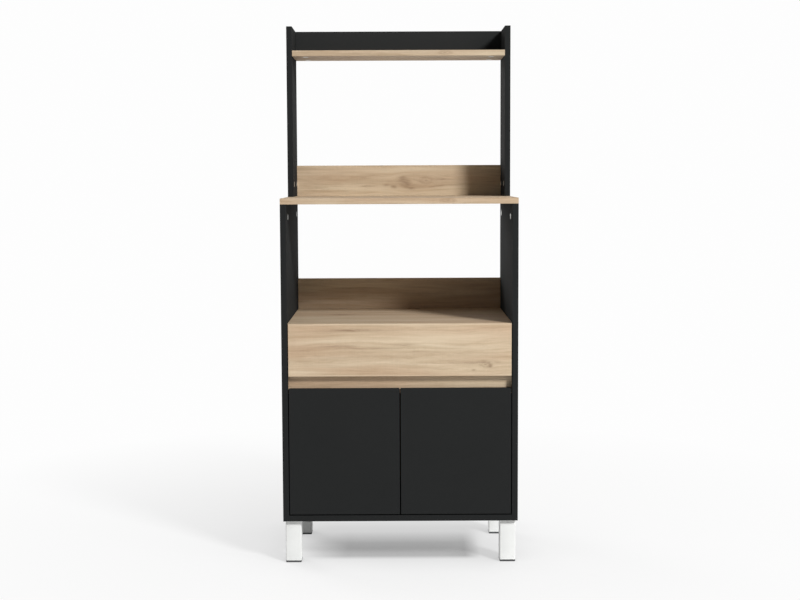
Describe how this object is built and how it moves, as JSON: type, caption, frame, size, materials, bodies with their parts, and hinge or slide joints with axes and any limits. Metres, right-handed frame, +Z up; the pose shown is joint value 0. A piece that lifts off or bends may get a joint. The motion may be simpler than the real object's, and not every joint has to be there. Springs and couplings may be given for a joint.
{
  "type": "microwave stand with drawer",
  "caption": "Tall free-standing kitchen stand: a drawer over a hinged-door cupboard, an open bay for a microwave oven and a shallow shelved hutch above, on square metal legs.",
  "frame": {"origin": "middle of the footprint, on the floor", "axes": "+Z up, +X to the right seen from the front, -Y out of the drawer and door fronts"},
  "size_m": [0.6, 0.4, 1.39],
  "materials": {
    "black_melamine": "fine-textured matt black melamine on chipboard",
    "oak_melamine": "light sonoma-oak wood-grain melamine, matt, grain running across",
    "white_melamine": "plain white melamine drawer boards",
    "hardboard": "thin hardboard with a smooth lacquered face",
    "leg_paint": "satin white powder coat",
    "pad_plastic": "moulded dark grey plastic",
    "runner_enamel": "white epoxy coat on rolled steel",
    "roller_nylon": "natural nylon",
    "hinge_nickel": "nickel plate",
    "screw_steel": "bright zinc plate",
    "cam_zinc": "die-cast zinc, slotted face",
    "dowel_beech": "fluted beech",
    "bumper_rubber": "clear soft bumper"
  },
  "bodies": {
    "carcass": {"bottom_panel": "black_melamine", "bumpers": "bumper_rubber", "cabinet_back": "hardboard", "cabinet_runner_left": "runner_enamel", "cabinet_runner_right": "runner_enamel", "cabinet_top": "oak_melamine", "cam_bolts": "screw_steel", "cam_locks": "cam_zinc", "dowels": "dowel_beech", "front_axles": "screw_steel", "grip_rail": "oak_melamine", "hinge_arms_left": "hinge_nickel", "hinge_arms_right": "hinge_nickel", "hinge_pins": "hinge_nickel", "hinge_plate_screws": "screw_steel", "hinge_plates_left": "hinge_nickel", "hinge_plates_right": "hinge_nickel", "leg_front_left": "leg_paint", "leg_front_right": "leg_paint", "leg_pads": "pad_plastic", "leg_rear_left": "leg_paint", "leg_rear_right": "leg_paint", "leg_screws": "screw_steel", "low_backsplash": "oak_melamine", "mid_backsplash": "oak_melamine", "mid_shelf": "oak_melamine", "runner_screws": "screw_steel", "side_panel_left": "black_melamine", "side_panel_right": "black_melamine", "top_back_panel": "black_melamine", "top_shelf": "oak_melamine", "upper_side_left": "black_melamine", "upper_side_right": "black_melamine"},
    "drawer": {"drawer_front": "oak_melamine", "drawer_side_left": "white_melamine", "drawer_side_right": "white_melamine", "drawer_back": "white_melamine", "drawer_bottom": "hardboard", "drawer_cams": "cam_zinc", "drawer_cam_bolts": "screw_steel", "drawer_dowels": "dowel_beech", "drawer_back_screws": "screw_steel", "drawer_runner_left": "runner_enamel", "drawer_runner_right": "runner_enamel", "drawer_runner_screws": "screw_steel", "rear_axles": "screw_steel"},
    "door_left": {"door_left": "black_melamine", "hinge_cups_left": "hinge_nickel", "hinge_cup_screws_left": "screw_steel"},
    "door_right": {"door_right": "black_melamine", "hinge_cups_right": "hinge_nickel", "hinge_cup_screws_right": "screw_steel"},
    "hinge_links_left": {"hinge_links_left": "hinge_nickel"},
    "hinge_links_right": {"hinge_links_right": "hinge_nickel"},
    "front_roller_left": {"front_roller_left": "roller_nylon"},
    "front_roller_right": {"front_roller_right": "roller_nylon"},
    "rear_roller_left": {"rear_roller_left": "roller_nylon"},
    "rear_roller_right": {"rear_roller_right": "roller_nylon"}
  },
  "joints": [
    {"name": "drawer_slide", "type": "slide", "parent": "carcass", "child": "drawer", "axis": [0, -1, 0], "range_m": [0, 0.255]},
    {"name": "door_left_swing", "type": "hinge", "parent": "carcass", "child": "door_left", "pos_m": [-0.2745, -0.2, 0.29], "axis": [0, 0, -1], "range_deg": [0, 95]},
    {"name": "door_right_swing", "type": "hinge", "parent": "carcass", "child": "door_right", "pos_m": [0.2745, -0.2, 0.29], "axis": [0, 0, 1], "range_deg": [0, 95]},
    {"name": "hinge_links_left_turn", "type": "hinge", "parent": "carcass", "child": "hinge_links_left", "pos_m": [-0.2512, -0.187, 0.29], "axis": [0, 0, 1], "range_deg": [0, 42]},
    {"name": "hinge_links_right_turn", "type": "hinge", "parent": "carcass", "child": "hinge_links_right", "pos_m": [0.2512, -0.187, 0.29], "axis": [0, 0, -1], "range_deg": [0, 42]},
    {"name": "front_roller_left_spin", "type": "hinge", "parent": "carcass", "child": "front_roller_left", "pos_m": [-0.2793, -0.169, 0.51415], "axis": [1, 0, 0], "range_deg": [0, 1470]},
    {"name": "rear_roller_left_spin", "type": "hinge", "parent": "drawer", "child": "rear_roller_left", "pos_m": [-0.2782, 0.154, 0.51235], "axis": [1, 0, 0], "range_deg": [0, 1470]},
    {"name": "front_roller_right_spin", "type": "hinge", "parent": "carcass", "child": "front_roller_right", "pos_m": [0.2793, -0.169, 0.51415], "axis": [1, 0, 0], "range_deg": [0, 1470]},
    {"name": "rear_roller_right_spin", "type": "hinge", "parent": "drawer", "child": "rear_roller_right", "pos_m": [0.2782, 0.154, 0.51235], "axis": [1, 0, 0], "range_deg": [0, 1470]}
  ],
  "couplings": [
    {"joint": "hinge_links_left_turn", "follows": "door_left_swing", "ratio": 0.439},
    {"joint": "hinge_links_right_turn", "follows": "door_right_swing", "ratio": 0.439},
    {"joint": "front_roller_left_spin", "follows": "drawer_slide", "rad_per_m": 100},
    {"joint": "rear_roller_left_spin", "follows": "drawer_slide", "rad_per_m": 100},
    {"joint": "front_roller_right_spin", "follows": "drawer_slide", "rad_per_m": 100},
    {"joint": "rear_roller_right_spin", "follows": "drawer_slide", "rad_per_m": 100}
  ]
}
